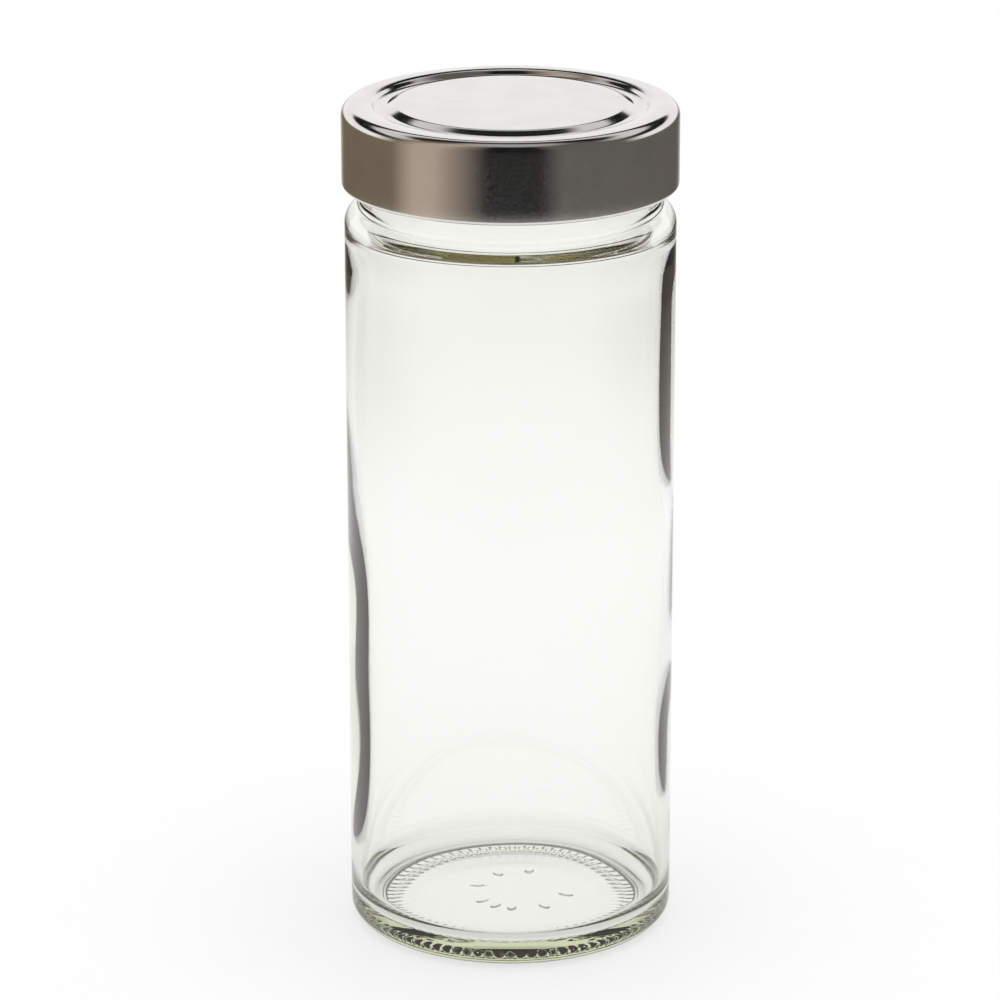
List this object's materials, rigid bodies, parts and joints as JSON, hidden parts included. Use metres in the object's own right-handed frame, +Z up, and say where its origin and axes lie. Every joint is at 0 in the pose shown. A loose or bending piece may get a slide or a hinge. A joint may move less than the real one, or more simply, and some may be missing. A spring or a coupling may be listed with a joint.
{
  "type": "spice jar",
  "caption": "Tall straight-sided clear glass jar with a deep twist-off metal lid that turns its lugs under the neck's thread ridges and lifts off.",
  "frame": {"origin": "centre of the base, on the surface the jar stands on", "axes": "+Z up along the jar's axis, -Y towards the side that the picture shows, +X to its right"},
  "size_m": [0.074, 0.074, 0.1894],
  "materials": {
    "glass": "clear moulded soda-lime glass, faintly green where it is thick",
    "tinplate": "bright lacquered tinplate, smooth on top and satin on the skirt",
    "sealing_compound": "smooth matt off-white plastisol"
  },
  "bodies": {
    "jar": {"glass_jar": "glass"},
    "seal": {"sealing_ring": "sealing_compound"},
    "lid": {"lid_shell": "tinplate"}
  },
  "joints": [
    {"name": "lid_lift", "type": "slide", "parent": "jar", "child": "seal", "axis": [0, 0, 1], "range_m": [0, 0.06]},
    {"name": "lid_twist", "type": "hinge", "parent": "seal", "child": "lid", "pos_m": [0, 0, 0.1891], "axis": [0, 0, 1], "range_deg": [-60, 0]}
  ]
}
